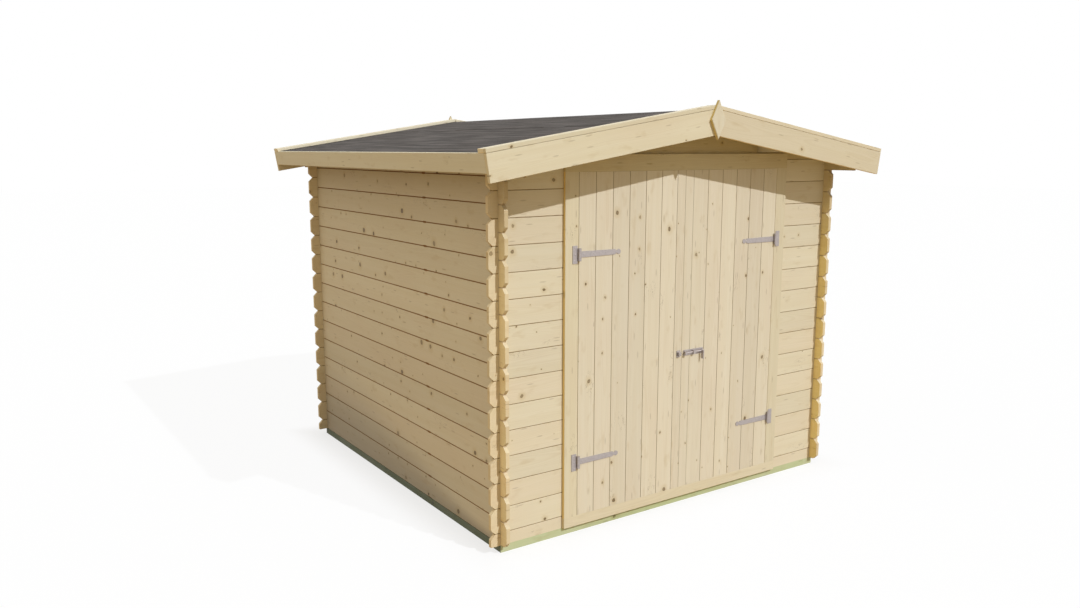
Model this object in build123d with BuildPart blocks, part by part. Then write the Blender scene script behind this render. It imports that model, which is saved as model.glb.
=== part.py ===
"""Garden shed of interlocking logs with a felted gable roof and a pair of boarded doors.

X runs to the right along the front, Y to the back and Z up, in millimetres.
The origin is on the ground under the middle of the shed.
"""
import os
from math import cos, radians, sin, tan

from build123d import *

os.makedirs("parts", exist_ok=True)

# Log walls
course = 120.0            # face height of one log
log_thick = 19.0
wall_width = 2160.0       # over the outer faces, left to right
wall_depth = 2160.0       # over the outer faces, front to back
side_courses = 15         # logs stacked in a side wall
corner_reach = 51.0       # length of a log beyond the wall that it crosses
end_chamfer = 24.0        # cut off the corners of a log end
joint_chamfer = 2.5       # bevel along each face edge of a log
tongue_height = 8.0
tongue_thick = 6.0
groove_clear = 0.5        # play of a tongue in its groove
notch_share = 0.25        # part of a course cut away above and below a crossing
notch_clear = 0.4         # play of a crossing log in its notch, each side
top_trim = 12.0           # planed off the outer face of the top side log

# Base
beam_height = 36.0
beam_width = 70.0
joist_count = 2
floor_thick = 16.0
floor_clear = 4.0         # between the floor and the walls

# Roof
roof_pitch = 9.1          # degrees
eave_overhang = 182.0     # from the wall to the outer face of the eave board
gable_overhang = 214.0    # from the wall to the outer face of a bargeboard
deck_thick = 18.0
felt_thick = 3.0
eave_board_height = 80.0
eave_board_thick = 18.0
barge_height = 140.0
barge_thick = 19.0
batten_height = 18.0
batten_width = 45.0
ridge_clear = 1.0         # between the two battens at the ridge
purlin_height = 95.0
purlin_thick = 45.0
purlin_clear = 0.5        # play of a purlin in its gable notch, each side
finial_height = 182.0
finial_width = 92.0
finial_thick = 16.0
finial_rise = 21.0        # above the top of the bargeboards
finial_chamfer = 2.0

# Doors
doorway = 1320.0          # between the jambs
jamb_width = 74.0
door_gap = 5.0            # running gap round and behind a leaf
door_lap = 25.0           # of the wall beside the doorway behind the jamb's inner edge
lintel_lap = 71.0         # of a leaf over the log above the doorway
leaf_thick = 12.0
header_height = 76.0
sill_height = 50.0        # of the board under the leaves
door_board = 101.0        # width of one board of a leaf
board_groove = 2.0        # depth and half width of the groove between boards
ledge_height = 95.0
ledge_thick = 20.0
ledge_inset = 14.0        # from the wall's log ends and from the meeting edge
brace_width = 80.0

# T hinges
hinge_up = 267.0          # lower hinge above the foot of a leaf
hinge_down = 373.0        # upper hinge below the head of a leaf
hinge_metal = 3.0
hinge_plate_height = 83.0
hinge_plate_width = 27.0
strap_length = 246.0
strap_root = 28.5
strap_tip = 25.0
strap_neck = 12.0
neck_reach = 22.0         # shoulders from the middle of the round end
neck_slope = 9.0          # length over which the shoulders narrow to the neck
strap_end_radius = 12.0
knuckle_radius = 8.0
knuckle_clear = 0.5       # off the faces, and between the knuckles
knuckle_height = 15.0     # of each plate knuckle, above and below the strap
pin_radius = 3.0
pin_clear = 0.1
plate_clear = 1.0         # between the plate and the strap's knuckle

# Sliding bolt
bolt_up = 714.0           # rod above the foot of a leaf
bolt_plate_length = 136.0
bolt_plate_height = 29.0
bolt_metal = 2.5
rod_radius = 5.0
rod_clear = 0.4           # off the plates
rod_guide_clear = 0.1
guide_width = 14.0
guide_wall = 4.0
bolt_stroke = 40.0
bolt_handle_drop = 41.0
bolt_handle_width = 5.0
bolt_handle_depth = 16.0
bolt_handle_inset = 12.0  # from the end of the rod
keep_width = 24.0
keep_plate_height = 34.0
keep_clear = 1.0          # round the rod in the keep
keep_inset = 9.0          # of the bolt plate and of the keep from the meeting edges

overrun = 20.0            # of every cut past the solid that it cuts

# Levels and places that follow
half_width = wall_width / 2
half_depth = wall_depth / 2
notch = course * notch_share
wall_base = beam_height
front_base = wall_base + course / 2
door_courses = side_courses - 2
lintel_base = front_base + door_courses * course
gable_base = lintel_base + course
slope = radians(roof_pitch)
eave_level = wall_base + side_courses * course - top_trim
ridge_level = eave_level + half_width * tan(slope)
eave_run = (half_width + eave_overhang) / cos(slope)
deck_run = eave_run - eave_board_thick
felt_base = deck_thick
felt_top = deck_thick + felt_thick
barge_top = felt_top + batten_height
barge_face = half_depth + gable_overhang
barge_back = barge_face - barge_thick
front_face = -half_depth
jamb_thick = leaf_thick + door_gap
door_face = front_face - jamb_thick
leaf_back = door_face + leaf_thick
sill_top = wall_base + sill_height
leaf_foot = sill_top + door_gap
leaf_head = lintel_base + lintel_lap
leaf_edge = doorway / 2 - door_gap
seam_edge = door_gap / 2
log_end = doorway / 2 - door_lap
hinge_levels = (leaf_foot + hinge_up, leaf_head - hinge_down)
pin_x = doorway / 2 - door_gap / 2
pin_y = door_face - knuckle_radius - knuckle_clear
rod_level = leaf_foot + bolt_up
rod_y = door_face - bolt_metal - rod_clear - rod_radius


def finish(builder, label):
    """Names a finished piece and writes it."""
    builder.part.label = label
    export_step(builder.part, f"parts/{label}.step")


def log_section(height, groove=True, tongue=True, joints=()):
    """Outline of a log across its length: bevelled faces, a tongue above and a groove below."""
    half = log_thick / 2
    lip = half - joint_chamfer
    slot = tongue_thick / 2 + groove_clear
    if groove:
        side = [(slot, tongue_height + groove_clear), (slot, 0), (lip, 0), (half, joint_chamfer)]
    else:
        side = [(half, 0)]
    for level in joints:
        side += [(half, level - joint_chamfer), (lip, level), (half, level + joint_chamfer)]
    if tongue:
        root = tongue_thick / 2
        side += [(half, height - joint_chamfer), (lip, height)]
        side += [(root, height), (root, height + tongue_height)]
    else:
        side += [(half, height)]
    return side + [(-u, v) for u, v in reversed(side)]


def log_end_points(x, inward, height, cut, flat_foot):
    """One end of a log seen on its face, from the foot up, with its corners cut where it projects."""
    head = height + tongue_height
    if not cut:
        return [(x, 0), (x, head)]
    shoulder = x + inward * end_chamfer
    foot = [(x, 0)] if flat_foot else [(shoulder, 0), (x, end_chamfer)]
    return foot + [(x, height - end_chamfer), (shoulder, height), (shoulder, head)]


def make_log(start, stop, crossings, height=course, whole=True, cut_start=True, cut_stop=True):
    """A log along X with notches above and below where the other walls cross it."""
    face = log_end_points(start, 1, height, cut_start, not whole)
    face += reversed(log_end_points(stop, -1, height, cut_stop, not whole))
    with BuildPart() as log:
        with BuildSketch(Plane.YZ.offset(start)):
            with BuildLine():
                Polyline(*log_section(height, groove=whole), close=True)
            make_face()
        extrude(amount=stop - start)
        with BuildSketch(Plane.XZ):
            with BuildLine():
                Polyline(*face, close=True)
            make_face()
            with Locations(*[(x, height - notch) for x in crossings]):
                Rectangle(notch_width, notch + tongue_height + overrun, align=(Align.CENTER, Align.MIN),
                          mode=Mode.SUBTRACT)
            if whole:
                with Locations(*[(x, notch) for x in crossings]):
                    Rectangle(notch_width, notch + overrun, align=(Align.CENTER, Align.MAX),
                              mode=Mode.SUBTRACT)
        extrude(amount=log_thick, both=True, mode=Mode.INTERSECT)
    return log.part


def stack(label, logs):
    """A node of logs that don't touch each other, each given with its place."""
    with BuildPart() as node:
        add([log.moved(place) for log, place in logs])
    finish(node, label)


def slope_point(side, run, rise):
    """Point of a roof slope: run down the slope from the ridge, rise square to its underside."""
    x = run * cos(slope) + rise * sin(slope)
    return (side * x, ridge_level - run * sin(slope) + rise * cos(slope))


def ridge_point(side, rise, off=0.0):
    """Point straight above the ridge line, or off to one side of it, at a rise over the underside."""
    return (side * off, ridge_level + rise / cos(slope) - off * tan(slope))


def underside(x):
    """Height of the underside of the roof deck."""
    return ridge_level - abs(x) * tan(slope)


def profile_piece(label, points, y_from, y_to):
    """A piece with one outline seen from the front, from y_from back to y_to."""
    with BuildPart() as piece:
        with BuildSketch(Plane.XZ.offset(-y_from)):
            with BuildLine():
                Polyline(*points, close=True)
            make_face()
        extrude(amount=y_from - y_to)
    finish(piece, label)


# Side walls: whole logs from the base up, the top one planed to the roof and as long as the roof
notch_width = log_thick + 2 * notch_clear
side_line = half_width - log_thick / 2
end_line = half_depth - log_thick / 2
side_reach = half_depth + corner_reach
end_reach = half_width + corner_reach
side_log = make_log(-side_reach, side_reach, (-end_line, end_line))
long_log = make_log(-barge_back, barge_back, (-end_line, end_line), cut_start=False, cut_stop=False)
top_level = wall_base + (side_courses - 1) * course
for name, side in (("left", -1), ("right", 1)):
    with BuildPart() as top_log:
        with Locations(Location((side * side_line, 0, top_level), (0, 0, 90))):
            add(long_log)
        roof = Plane(origin=(side * half_width, 0, eave_level), z_dir=(side * sin(slope), 0, cos(slope)))
        split(bisect_by=roof, keep=Keep.BOTTOM)
    for half, first in (("a", 0), ("b", 1)):
        logs = [(side_log, Location((side * side_line, 0, wall_base + k * course), (0, 0, 90)))
                for k in range(first, side_courses - 1, 2)]
        if (side_courses - 1 - first) % 2 == 0:
            logs.append((top_log.part, Location()))
        stack(f"{name}_wall_logs_{half}", logs)

# Back wall: a half log, then whole logs half a course above those of the sides
crossings = (-side_line, side_line)
end_log = make_log(-end_reach, end_reach, crossings)
sill_log = make_log(-end_reach, end_reach, crossings, height=course / 2, whole=False)
for half, first in (("a", 1), ("b", 0)):
    logs = [(end_log, Location((0, end_line, front_base + k * course)))
            for k in range(first, side_courses - 1, 2)]
    if half == "a":
        logs.append((sill_log, Location((0, end_line, wall_base))))
    stack(f"back_wall_logs_{half}", logs)

# Front wall: a sill under the doorway, short logs beside it and a lintel over it
left_log = make_log(-end_reach, -log_end, (-side_line,), cut_stop=False)
right_log = make_log(log_end, end_reach, (side_line,), cut_start=False)
stack("front_sill_log", [(sill_log, Location((0, -end_line, wall_base)))])
for half, first in (("a", 1), ("b", 0)):
    logs = []
    for k in range(first, door_courses, 2):
        place = Location((0, -end_line, front_base + k * course))
        logs += [(left_log, place), (right_log, place)]
    stack(f"front_wall_logs_{half}", logs)
stack("front_lintel_log", [(end_log, Location((0, -end_line, lintel_base)))])

# Gables: one panel each, with a groove at every course, cut out for the purlins
purlin_line = half_width / 2
gable_height = ridge_level - gable_base
gable_joints = [k * course for k in range(1, int(gable_height / course) + 1)]
for name, y in (("front", -end_line), ("back", end_line)):
    with BuildPart() as gable:
        with BuildSketch(Plane.YZ.offset(-end_reach)):
            with BuildLine():
                Polyline(*log_section(gable_height + overrun, tongue=False, joints=gable_joints), close=True)
            make_face()
        extrude(amount=2 * end_reach)
        with BuildSketch(Plane.XZ):
            with BuildLine():
                Polyline((end_chamfer - end_reach, 0), (-end_reach, end_chamfer),
                         (-end_reach, underside(end_reach) - gable_base), (0, gable_height),
                         (end_reach, underside(end_reach) - gable_base), (end_reach, end_chamfer),
                         (end_reach - end_chamfer, 0), close=True)
            make_face()
            with Locations(*[(x, notch) for x in crossings]):
                Rectangle(notch_width, notch + overrun, align=(Align.CENTER, Align.MAX), mode=Mode.SUBTRACT)
            for x in (-purlin_line, 0, purlin_line):
                with Locations((x, underside(x) - purlin_height - gable_base)):
                    Rectangle(purlin_thick + 2 * purlin_clear, purlin_height + overrun,
                              align=(Align.CENTER, Align.MIN), mode=Mode.SUBTRACT)
        extrude(amount=log_thick, both=True, mode=Mode.INTERSECT)
    stack(f"{name}_gable", [(gable.part, Location((0, y, gable_base)))])

# Base: a frame of beams flush with the walls, joists between them and a floor
with BuildPart() as side_beams:
    with BuildSketch():
        with GridLocations(wall_width - beam_width, 0, 2, 1):
            Rectangle(beam_width, wall_depth)
    extrude(amount=beam_height)
finish(side_beams, "foundation_side_beams")
with BuildPart() as end_beams:
    with BuildSketch():
        with GridLocations(0, wall_depth - beam_width, 1, 2):
            Rectangle(wall_width - 2 * beam_width, beam_width)
    extrude(amount=beam_height)
finish(end_beams, "foundation_end_beams")
with BuildPart() as joists:
    with BuildSketch():
        with GridLocations(wall_width / (joist_count + 1), 0, joist_count, 1):
            Rectangle(beam_width, wall_depth - 2 * beam_width)
    extrude(amount=beam_height)
finish(joists, "floor_joists")
floor_inset = log_thick + floor_clear
with BuildPart() as floor:
    with BuildSketch(Plane.XY.offset(wall_base)):
        Rectangle(wall_width - 2 * floor_inset, wall_depth - 2 * floor_inset)
    extrude(amount=floor_thick)
finish(floor, "floor")

# Roof: purlins through the gables, a boarded deck, felt, boards along every edge
def purlin_points(x):
    """Outline of a purlin: upright sides, its top planed to the roof."""
    low, high = x - purlin_thick / 2, x + purlin_thick / 2
    foot = underside(x) - purlin_height
    crown = [(x, underside(x))] if x == 0 else []
    return [(low, foot), (low, underside(low)), *crown, (high, underside(high)), (high, foot)]


profile_piece("ridge_purlin", purlin_points(0), -barge_back, barge_back)
with BuildPart() as side_purlins:
    with BuildSketch(Plane.XZ.offset(barge_back)):
        for x in (-purlin_line, purlin_line):
            with BuildLine():
                Polyline(*purlin_points(x), close=True)
            make_face()
    extrude(amount=-2 * barge_back)
finish(side_purlins, "side_purlins")
for name, side in (("left", -1), ("right", 1)):
    deck = [ridge_point(side, 0), slope_point(side, deck_run, 0),
            slope_point(side, deck_run, deck_thick), ridge_point(side, deck_thick)]
    profile_piece(f"{name}_roof_deck", deck, -barge_back, barge_back)
    board = [slope_point(side, run, rise) for run, rise in (
        (deck_run, deck_thick - eave_board_height), (eave_run, deck_thick - eave_board_height),
        (eave_run, deck_thick), (deck_run, deck_thick))]
    profile_piece(f"{name}_eave_board", board, -barge_back, barge_back)
    barge_foot = barge_top - barge_height
    barge = [ridge_point(side, barge_foot), slope_point(side, eave_run, barge_foot),
             slope_point(side, eave_run, barge_top), ridge_point(side, barge_top)]
    profile_piece(f"front_{name}_bargeboard", barge, -barge_face, -barge_back)
    profile_piece(f"back_{name}_bargeboard", barge, barge_back, barge_face)
felt = [ridge_point(1, felt_base), slope_point(1, eave_run, felt_base), slope_point(1, eave_run, felt_top),
        ridge_point(1, felt_top), slope_point(-1, eave_run, felt_top), slope_point(-1, eave_run, felt_base)]
profile_piece("roof_felt", felt, -barge_back, barge_back)
with BuildPart() as battens:
    for y in (-barge_back, barge_back - batten_width):
        with BuildSketch(Plane.XZ.offset(-y)):
            for side in (-1, 1):
                inner = [ridge_point(side, rise, ridge_clear / 2) for rise in (felt_top, barge_top)]
                outer = [slope_point(side, eave_run, rise) for rise in (barge_top, felt_top)]
                with BuildLine():
                    Polyline(*inner, *outer, close=True)
                make_face()
        extrude(amount=-batten_width)
finish(battens, "edge_battens")
finial_level = ridge_point(1, barge_top)[1] + finial_rise - finial_height / 2
for name, y in (("front", -barge_face), ("back", barge_face + finial_thick)):
    with BuildPart() as finial:
        with BuildSketch(Plane.XZ.offset(-y)):
            with BuildLine():
                Polyline((0, finial_level - finial_height / 2), (finial_width / 2, finial_level),
                         (0, finial_level + finial_height / 2), (-finial_width / 2, finial_level), close=True)
            make_face()
        extrude(amount=finial_thick)
        outer = finial.faces().sort_by(Axis.Y)[0 if name == "front" else -1]
        chamfer(outer.edges(), finial_chamfer)
    finish(finial, f"{name}_finial")

# Door surround on the face of the wall
with BuildPart() as jambs:
    with BuildSketch(Plane.XY.offset(sill_top)):
        with Locations((0, front_face)):
            with GridLocations(doorway + jamb_width, 0, 2, 1):
                Rectangle(jamb_width, jamb_thick, align=(Align.CENTER, Align.MAX))
    extrude(amount=leaf_head + door_gap - sill_top)
finish(jambs, "door_jambs")
for label, level, height in (("door_sill", wall_base, sill_height),
                             ("door_header", leaf_head + door_gap, header_height)):
    with BuildPart() as rail:
        with BuildSketch(Plane.XY.offset(level)):
            with Locations((0, front_face)):
                Rectangle(doorway + 2 * jamb_width, jamb_thick, align=(Align.CENTER, Align.MAX))
        extrude(amount=height)
    finish(rail, label)

# Door leaves: boards with a groove at each joint, two ledges and a brace behind them
ledge_start = log_end - ledge_inset
ledge_stop = seam_edge + ledge_inset
leaf_width = leaf_edge - seam_edge
for name, side in (("left", -1), ("right", 1)):
    grooves = [side * (doorway / 2 - k * door_board) for k in range(1, int(leaf_width / door_board) + 1)]
    with BuildPart() as leaf:
        with BuildSketch(Plane.XY.offset(leaf_foot)):
            with Locations((side * (leaf_edge + seam_edge) / 2, door_face)):
                Rectangle(leaf_width, leaf_thick, align=(Align.CENTER, Align.MIN))
            with Locations(*[(x, y) for x in grooves for y in (door_face, leaf_back)]):
                Rectangle(board_groove, board_groove, rotation=45, mode=Mode.SUBTRACT)
        extrude(amount=leaf_head - leaf_foot)
    finish(leaf, f"{name}_door")
    with BuildPart() as ledges:
        with BuildSketch(Plane.XZ.offset(-leaf_back)):
            with Locations(*[(side * (ledge_start + ledge_stop) / 2, z) for z in hinge_levels]):
                Rectangle(ledge_start - ledge_stop, ledge_height)
        extrude(amount=-ledge_thick)
        chamfer(ledges.faces().sort_by(Axis.Y)[-2:].edges(), board_groove)
    finish(ledges, f"{name}_door_ledges")
    low, high = hinge_levels[0] + ledge_height / 2, hinge_levels[1] - ledge_height / 2
    with BuildPart() as brace:
        with BuildSketch(Plane.XZ.offset(-leaf_back)):
            with BuildLine():
                Polyline((side * ledge_start, low), (side * (ledge_start - brace_width), low),
                         (side * ledge_stop, high), (side * (ledge_stop + brace_width), high), close=True)
            make_face()
        extrude(amount=-ledge_thick)
    finish(brace, f"{name}_door_brace")

# T hinges: a plate and pin on each jamb, a strap on the leaf that turns about the pin
strap_knuckle = strap_root / 2
plate_knuckle = strap_knuckle + knuckle_clear
barrel_end = plate_knuckle + knuckle_height


def hinge_plate(side):
    """Plate on the jamb with an upper and a lower knuckle and the pin, round the pin's middle."""
    with BuildPart() as plate:
        with BuildSketch(Plane.XZ.offset(-door_face)):
            with Locations((side * (pin_x + knuckle_radius + plate_clear + hinge_plate_width / 2), 0)):
                Rectangle(hinge_plate_width, hinge_plate_height)
            for z in (-1, 1):
                with Locations((side * (pin_x + (knuckle_radius + plate_clear) / 2),
                                z * (plate_knuckle + knuckle_height / 2))):
                    Rectangle(knuckle_radius + plate_clear, knuckle_height)
        extrude(amount=hinge_metal)
        for z in (plate_knuckle, -barrel_end):
            with BuildSketch(Plane.XY.offset(z)):
                with Locations((side * pin_x, pin_y)):
                    Circle(knuckle_radius)
            extrude(amount=knuckle_height)
        with BuildSketch(Plane.XY.offset(-barrel_end)):
            with Locations((side * pin_x, pin_y)):
                Circle(pin_radius)
        extrude(amount=2 * barrel_end)
    return plate.part


def hinge_strap(side):
    """Tapered strap on the leaf with a neck, a round end and the middle knuckle."""
    root, tip = pin_x, pin_x - strap_length + strap_end_radius
    edge = [(root, strap_root / 2), (tip + neck_reach, strap_tip / 2),
            (tip + neck_reach - neck_slope, strap_neck / 2), (tip, strap_neck / 2)]
    outline = [(side * x, -z) for x, z in edge] + [(side * x, z) for x, z in reversed(edge)]
    with BuildPart() as strap:
        with BuildSketch(Plane.XZ.offset(-door_face)):
            with BuildLine():
                Polyline(*outline, close=True)
            make_face()
            with Locations((side * tip, 0)):
                Circle(strap_end_radius)
        extrude(amount=hinge_metal)
        with BuildSketch(Plane.XY.offset(-strap_knuckle)):
            with Locations((side * pin_x, pin_y)):
                Circle(knuckle_radius)
        extrude(amount=strap_root)
        with BuildSketch(Plane.XY.offset(-strap_knuckle)):
            with Locations((side * pin_x, pin_y)):
                Circle(pin_radius + pin_clear)
        extrude(amount=strap_root, mode=Mode.SUBTRACT)
    return strap.part


plates = [(hinge_plate(side), Location((0, 0, z))) for side in (-1, 1) for z in hinge_levels]
stack("hinge_plates", plates)
for name, side in (("left", -1), ("right", 1)):
    strap = hinge_strap(side)
    stack(f"{name}_hinge_straps", [(strap, Location((0, 0, z))) for z in hinge_levels])

# Sliding bolt on the right leaf, drawn back, and its keep on the left leaf
bolt_start = seam_edge + keep_inset
guide_height = 2 * (rod_radius + guide_wall)
guide_front = rod_y - rod_radius - guide_wall
handle_end = bolt_start + bolt_plate_length - bolt_handle_inset
guide_places = (bolt_start + guide_width / 2, handle_end - bolt_handle_width - bolt_stroke - guide_width)
with BuildPart() as guides:
    with BuildSketch(Plane.XZ.offset(-door_face)):
        with Locations((bolt_start + bolt_plate_length / 2, rod_level)):
            Rectangle(bolt_plate_length, bolt_plate_height)
    extrude(amount=bolt_metal)
    with BuildSketch(Plane.XZ.offset(-door_face)):
        with Locations(*[(x, rod_level) for x in guide_places]):
            Rectangle(guide_width, guide_height)
    extrude(amount=door_face - guide_front)
    with BuildSketch(Plane.YZ.offset(bolt_start)):
        with Locations((rod_y, rod_level)):
            Circle(rod_radius + rod_guide_clear)
    extrude(amount=bolt_plate_length, mode=Mode.SUBTRACT)
finish(guides, "bolt_guides")
with BuildPart() as rod:
    with BuildSketch(Plane.YZ.offset(bolt_start)):
        with Locations((rod_y, rod_level)):
            Circle(rod_radius)
    extrude(amount=bolt_plate_length)
    chamfer(rod.edges().filter_by(GeomType.CIRCLE), rod_clear)
    with BuildSketch(Plane.XZ.offset(-rod_y)):
        with Locations((handle_end, rod_level + rod_radius / 2)):
            Rectangle(bolt_handle_width, bolt_handle_drop + rod_radius / 2, align=(Align.MAX, Align.MAX))
    extrude(amount=bolt_handle_depth)
finish(rod, "bolt_rod")
with BuildPart() as keep:
    with BuildSketch(Plane.XZ.offset(-door_face)):
        with Locations((-bolt_start - keep_width / 2, rod_level)):
            Rectangle(keep_width, keep_plate_height)
    extrude(amount=bolt_metal)
    with BuildSketch(Plane.XZ.offset(-door_face)):
        with Locations((-bolt_start - keep_width / 2, rod_level)):
            Rectangle(guide_width, guide_height)
    extrude(amount=door_face - guide_front)
    with BuildSketch(Plane.XZ.offset(bolt_metal - door_face)):
        with Locations((-bolt_start - keep_width / 2, rod_level)):
            Rectangle(keep_width, 2 * (rod_radius + keep_clear))
    extrude(amount=rod_clear + 2 * rod_radius + keep_clear, mode=Mode.SUBTRACT)
    chamfer(keep.faces().sort_by(Axis.Y)[0].edges().filter_by(Axis.X), bolt_metal)
finish(keep, "bolt_keep")
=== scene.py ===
# %% [markdown]
# # A log-built garden shed
# The shed's solids come packed as a fixed frame: logs, roof, doors and ironwork at their real size, in
# metres. This lesson dresses them. Boards that a joiner planes get rounded edges and their own grain, the
# roof gets its strips of felt, and every surface gets a finish that is worked out by shader nodes.

# %% Load the frame
from math import atan2, cos, pi, radians, sin, tan

import bpy
import numpy as np
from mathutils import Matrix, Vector


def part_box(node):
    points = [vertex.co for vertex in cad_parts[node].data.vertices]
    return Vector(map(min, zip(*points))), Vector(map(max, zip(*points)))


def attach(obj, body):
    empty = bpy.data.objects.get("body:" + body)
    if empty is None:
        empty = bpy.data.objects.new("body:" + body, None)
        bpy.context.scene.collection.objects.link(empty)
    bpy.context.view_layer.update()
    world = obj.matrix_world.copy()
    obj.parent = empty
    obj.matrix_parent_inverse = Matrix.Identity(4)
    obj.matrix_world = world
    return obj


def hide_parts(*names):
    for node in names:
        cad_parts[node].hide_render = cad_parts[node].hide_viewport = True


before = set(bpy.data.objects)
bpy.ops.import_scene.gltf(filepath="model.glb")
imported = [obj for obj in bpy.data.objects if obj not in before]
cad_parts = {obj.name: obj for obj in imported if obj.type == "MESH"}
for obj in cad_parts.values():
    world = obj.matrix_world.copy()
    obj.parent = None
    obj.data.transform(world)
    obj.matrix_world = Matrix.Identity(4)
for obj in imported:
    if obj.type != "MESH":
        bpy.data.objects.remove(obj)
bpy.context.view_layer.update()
scene = bpy.context.scene
sides = ((-1, "left"), (1, "right"))

# %% [markdown]
# ## Where the viewer stands
# The shed is seen from its front left corner, from a little below the ridge, with a moderately wide lens.
# A camera could be aimed by eye. Here its place, its turn and its lens are plain numbers, found by laying
# the joints between the logs over their picture, so that every edge falls where it should.

# %% Camera
camera_place = (-3.126, -4.405, 1.833)
camera_turn = radians(34.26)      # to the right of straight ahead
camera_dip = radians(9.76)        # below the horizon
camera_lens, picture_width = 30.09, 36.0   # millimetres

camera_data = bpy.data.cameras.new("camera")
camera_data.lens = camera_lens
camera_data.sensor_width = picture_width
camera = bpy.data.objects.new("camera", camera_data)
camera.location = camera_place
camera.rotation_euler = (pi / 2 - camera_dip, 0.0, -camera_turn)
scene.collection.objects.link(camera)
scene.camera = camera
print("camera at", camera_place)

# %% [markdown]
# ## Light
# A low sun stands in front of the shed, a little to the right, and throws the crisp shadow of the
# bargeboards on the doors. A pale sky, a broad soft light from the left and a floor that returns some warm
# light fill the side that is turned away. To the camera the sky and the floor are white: the Light Path node
# tells apart the rays that the camera sends out, so the white adds no light to the wood. Part of the floor's
# own shading is kept, and more of it close to the shed, so that the shed's shadow still shows.

# %% Node helpers
def add(tree, kind, inputs=None, out=0, **settings):
    """Adds a shader node, sets or links its inputs, and returns one of its outputs."""
    made = tree.nodes.new(kind)
    for key, value in settings.items():
        setattr(made, key, value)
    for name, value in (inputs or {}).items():
        if isinstance(value, bpy.types.NodeSocket):
            tree.links.new(value, made.inputs[name])
        else:
            made.inputs[name].default_value = value
    return made.outputs[out]


def calc(tree, operation, *values):
    """A Math node on one to three values, each a number or another node's output."""
    return add(tree, "ShaderNodeMath", dict(enumerate(values)), operation=operation)


def split(tree, value):
    """The three parts of a vector."""
    return add(tree, "ShaderNodeSeparateXYZ", {0: value}).node.outputs


def ease(tree, value, start, stop, low=0.0, high=1.0):
    """Goes smoothly from low to high while the value goes from start to stop."""
    inputs = {"Value": value, "From Min": start, "From Max": stop, "To Min": low, "To Max": high}
    return add(tree, "ShaderNodeMapRange", inputs, interpolation_type="SMOOTHSTEP")


def coordinates(tree):
    """Where a point lies: its place in the shed (Object) and the way its surface faces (Normal)."""
    return tree.nodes.new("ShaderNodeTexCoord").outputs


def mix_shaders(tree, share, first, second):
    """A blend of two shaders; share is the part of the second one."""
    return add(tree, "ShaderNodeMixShader", {0: share, 1: first, 2: second})


def seen_directly(tree):
    """1 for rays that the camera sends out, also by way of metal or glass; 0 for rays that carry light."""
    path = tree.nodes.new("ShaderNodeLightPath").outputs
    mirrored = calc(tree, "MAXIMUM", path["Is Glossy Ray"], path["Is Transmission Ray"])
    return calc(tree, "MAXIMUM", path["Is Camera Ray"], mirrored)


def new_material(name):
    """An empty material with nodes, and its tree."""
    material = bpy.data.materials.new(name)
    material.use_nodes = True
    material.node_tree.nodes.clear()
    return material, material.node_tree


print("node helpers ready")

# %% Sun, fill and sky
sun_travel = Vector((-0.60, 1.77, -1.65))
sun_strength = 2.7
sun_colour = (0.89, 0.93, 1.0)
sun_angle = 0.8                   # degrees; a narrow light has sharp shadows, a broad one soft ones
fill_travel = Vector((0.80, -0.20, -0.70))
fill_strength = 0.39
fill_colour = (1.0, 0.91, 0.81)
fill_angle = 60.0
sky_colour = (0.462, 0.450, 0.408, 1.0)
pure_white = (1.0, 1.0, 1.0, 1.0)

scene.view_settings.view_transform = "Standard"


def far_light(name, travel, strength, colour, angle):
    """A sun lamp that shines in one direction; its angle in degrees makes shadows sharp or soft."""
    data = bpy.data.lights.new(name, "SUN")
    data.energy, data.color, data.angle = strength, colour, radians(angle)
    lamp = bpy.data.objects.new(name, data)
    lamp.rotation_euler = travel.to_track_quat("-Z", "Y").to_euler()
    scene.collection.objects.link(lamp)


far_light("sun", sun_travel, sun_strength, sun_colour, sun_angle)
far_light("left_fill", fill_travel, fill_strength, fill_colour, fill_angle)

scene.world = bpy.data.worlds.new("sky")
scene.world.use_nodes = True
tree = scene.world.node_tree
tree.nodes.clear()
sky = add(tree, "ShaderNodeBackground", {"Color": sky_colour, "Strength": 1.0})
white = add(tree, "ShaderNodeBackground", {"Color": pure_white, "Strength": 1.0})
result = tree.nodes.new("ShaderNodeOutputWorld")
tree.links.new(mix_shaders(tree, seen_directly(tree), sky, white), result.inputs["Surface"])
print("sun", sun_strength, "fill", fill_strength, "sky", sky_colour[:3])

# %% Floor
floor_bounce = (0.52, 0.38, 0.20, 1.0)
floor_grey = (0.9, 0.9, 0.9, 1.0)
near_white_share, far_white_share = 0.72, 0.93
near_reach = 0.25                 # from the shed, over which the white share grows
floor_reach = 40.0
base_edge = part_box("foundation_side_beams")[1].x

floor_paint, tree = new_material("floor_white")
warm = add(tree, "ShaderNodeBsdfDiffuse", {"Color": floor_bounce})
shaded = add(tree, "ShaderNodeBsdfDiffuse", {"Color": floor_grey})
glow = add(tree, "ShaderNodeEmission", {"Color": pure_white, "Strength": 1.0})
spot = split(tree, coordinates(tree)["Object"])
outward = calc(tree, "MAXIMUM", *(calc(tree, "ABSOLUTE", spot[axis]) for axis in (0, 1)))
share = ease(tree, outward, base_edge, base_edge + near_reach, near_white_share, far_white_share)
pale = mix_shaders(tree, share, shaded, glow)
result = tree.nodes.new("ShaderNodeOutputMaterial")
tree.links.new(mix_shaders(tree, seen_directly(tree), warm, pale), result.inputs["Surface"])

corners = np.array([(-1, -1, 0), (1, -1, 0), (1, 1, 0), (-1, 1, 0)]) * floor_reach
floor_mesh = bpy.data.meshes.new("floor_sheet")
floor_mesh.from_pydata(corners.tolist(), [], [(0, 1, 2, 3)])
floor_mesh.materials.append(floor_paint)
floor_sheet = bpy.data.objects.new("floor_sheet", floor_mesh)
scene.collection.objects.link(floor_sheet)
print("floor reaches", floor_reach, "m")

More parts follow.
